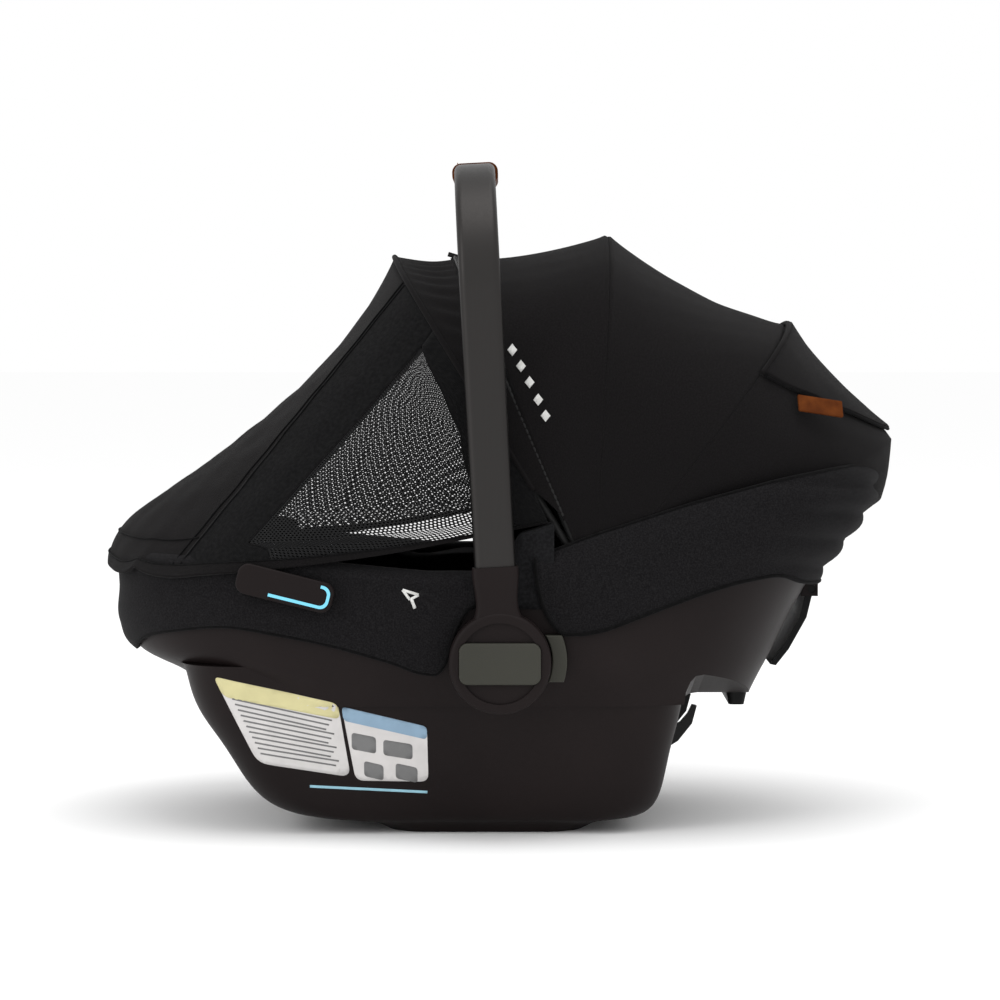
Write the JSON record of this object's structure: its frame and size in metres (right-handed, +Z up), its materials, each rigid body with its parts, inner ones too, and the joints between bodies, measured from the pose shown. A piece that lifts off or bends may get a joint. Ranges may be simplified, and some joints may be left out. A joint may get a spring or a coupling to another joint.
{
  "type": "infant car seat",
  "caption": "Rocker-bottomed infant carrier with swinging carry handle, folding canopy, drop-down mesh-sided shade, harness and rear latch.",
  "frame": {"origin": "on the floor under the middle of the whole object", "axes": "-X is the foot end, +X the head end, Y the width (left side at -Y), +Z up"},
  "size_m": [0.6738, 0.4392, 0.5586],
  "materials": {
    "shell_plastic": "fine moulded texture, satin",
    "black_plastic": "fine moulded texture",
    "green_grey_plastic": "soft satin",
    "accent_blue": "satin",
    "anodised_bow": "dark anodised satin",
    "steel": "bright zinc",
    "black_metal": "black coated",
    "leather": "smooth grained",
    "foam": "moulded energy absorbing foam",
    "melange_fabric": "heathered knit",
    "pad_fabric": "soft knit",
    "insert_fabric": "soft heathered knit",
    "canopy_fabric": "dense twill",
    "mesh_fabric": "open hexagonal mesh",
    "webbing": "flat woven polyester"
  },
  "bodies": {
    "carrier": {"adjuster_housing": "black_plastic", "adjuster_strap": "webbing", "belt_guide_left": "shell_plastic", "belt_guide_right": "shell_plastic", "buckle": "black_plastic", "button_spring_left": "steel", "button_spring_right": "steel", "canopy_pivot_left": "steel", "canopy_pivot_right": "steel", "canopy_rear_panel": "canopy_fabric", "carrier_shell": "shell_plastic", "chest_clip": "black_plastic", "crotch_strap": "webbing", "foam_liner": "foam", "foot_cover": "melange_fabric", "guide_accent_left": "accent_blue", "guide_accent_right": "accent_blue", "handle_pivot_left": "steel", "handle_pivot_right": "steel", "head_cover": "melange_fabric", "head_support": "insert_fabric", "hip_strap_left": "webbing", "hip_strap_right": "webbing", "hub_socket_left": "shell_plastic", "hub_socket_right": "shell_plastic", "infant_insert": "insert_fabric", "latch_bracket": "black_plastic", "latch_spring": "steel", "lever_lugs": "shell_plastic", "rear_bumper": "black_plastic", "rear_stay": "black_metal", "seat_pad": "pad_fabric", "shoulder_strap_left": "webbing", "shoulder_strap_right": "webbing", "strap_pad_left": "pad_fabric", "strap_pad_right": "pad_fabric"},
    "handle": {"handle_bow": "anodised_bow", "handle_grip": "leather", "hub_cover_left": "shell_plastic", "hub_cover_right": "shell_plastic"},
    "handle_button_left": {"handle_button_left": "green_grey_plastic"},
    "handle_button_right": {"handle_button_right": "green_grey_plastic"},
    "canopy_front": {"front_stays": "black_metal", "canopy_front_panel": "canopy_fabric", "shade_header": "canopy_fabric", "shade_panel": "canopy_fabric", "shade_mesh_left": "mesh_fabric", "shade_mesh_right": "mesh_fabric", "zip_slider": "black_metal"},
    "canopy_middle": {"middle_stay": "black_metal", "canopy_middle_panel": "canopy_fabric"},
    "vent_flap": {"vent_flap": "canopy_fabric", "leather_tag": "leather"},
    "release_lever": {"release_lever": "black_plastic"},
    "latch_hooks": {"latch_hooks": "steel"},
    "release_tab_left": {"release_tab_left": "green_grey_plastic"},
    "release_tab_right": {"release_tab_right": "green_grey_plastic"},
    "buckle_button": {"buckle_button": "green_grey_plastic"},
    "adjuster_button": {"adjuster_button": "green_grey_plastic"}
  },
  "joints": [
    {"name": "handle_swing", "type": "hinge", "parent": "carrier", "child": "handle", "pos_m": [0, 0, 0.15], "axis": [0, 1, 0], "range_deg": [0, 100]},
    {"name": "handle_button_left_press", "type": "slide", "parent": "handle", "child": "handle_button_left", "axis": [0, 1, 0], "range_m": [0, 0.0035], "stiffness_N_per_m": 900, "springref_m": -0.002, "deforming": ["button_spring_left"]},
    {"name": "handle_button_right_press", "type": "slide", "parent": "handle", "child": "handle_button_right", "axis": [0, -1, 0], "range_m": [0, 0.0035], "stiffness_N_per_m": 900, "springref_m": -0.002, "deforming": ["button_spring_right"]},
    {"name": "canopy_fold", "type": "hinge", "parent": "carrier", "child": "canopy_front", "pos_m": [0.077, 0, 0.207], "axis": [0, 1, 0], "range_deg": [0, 50], "deforming": ["canopy_front_panel", "shade_header", "shade_panel", "shade_mesh_left", "shade_mesh_right"]},
    {"name": "canopy_middle_fold", "type": "hinge", "parent": "carrier", "child": "canopy_middle", "pos_m": [0.077, 0, 0.207], "axis": [0, 1, 0], "range_deg": [0, 30], "deforming": ["canopy_middle_panel"]},
    {"name": "vent_flap_lift", "type": "hinge", "parent": "carrier", "child": "vent_flap", "pos_m": [0.247, 0, 0.424], "axis": [0, -1, 0], "range_deg": [0, 70]},
    {"name": "release_lever_pull", "type": "hinge", "parent": "carrier", "child": "release_lever", "pos_m": [0.266, 0, 0.197], "axis": [0, -1, 0], "range_deg": [0, 15], "stiffness_Nm_per_rad": 1.5, "springref_deg": -2.86},
    {"name": "latch_hook_turn", "type": "hinge", "parent": "carrier", "child": "latch_hooks", "pos_m": [0.134, 0, 0.068], "axis": [0, 1, 0], "range_deg": [0, 15]},
    {"name": "release_tab_left_press", "type": "slide", "parent": "carrier", "child": "release_tab_left", "axis": [0, 1, 0], "range_m": [0, 0.003], "stiffness_N_per_m": 900, "springref_m": -0.001},
    {"name": "release_tab_right_press", "type": "slide", "parent": "carrier", "child": "release_tab_right", "axis": [0, -1, 0], "range_m": [0, 0.003], "stiffness_N_per_m": 900, "springref_m": -0.001},
    {"name": "buckle_button_press", "type": "slide", "parent": "carrier", "child": "buckle_button", "axis": [0.7071, 0, -0.7071], "range_m": [0, 0.002], "stiffness_N_per_m": 900, "springref_m": -0.001},
    {"name": "adjuster_button_press", "type": "slide", "parent": "carrier", "child": "adjuster_button", "axis": [-0.5878, 0, -0.809], "range_m": [0, 0.002], "stiffness_N_per_m": 900, "springref_m": -0.001}
  ],
  "couplings": [
    {"joint": "canopy_middle_fold", "follows": "canopy_fold", "ratio": 0.6},
    {"joint": "latch_hook_turn", "follows": "release_lever_pull", "ratio": 1}
  ]
}
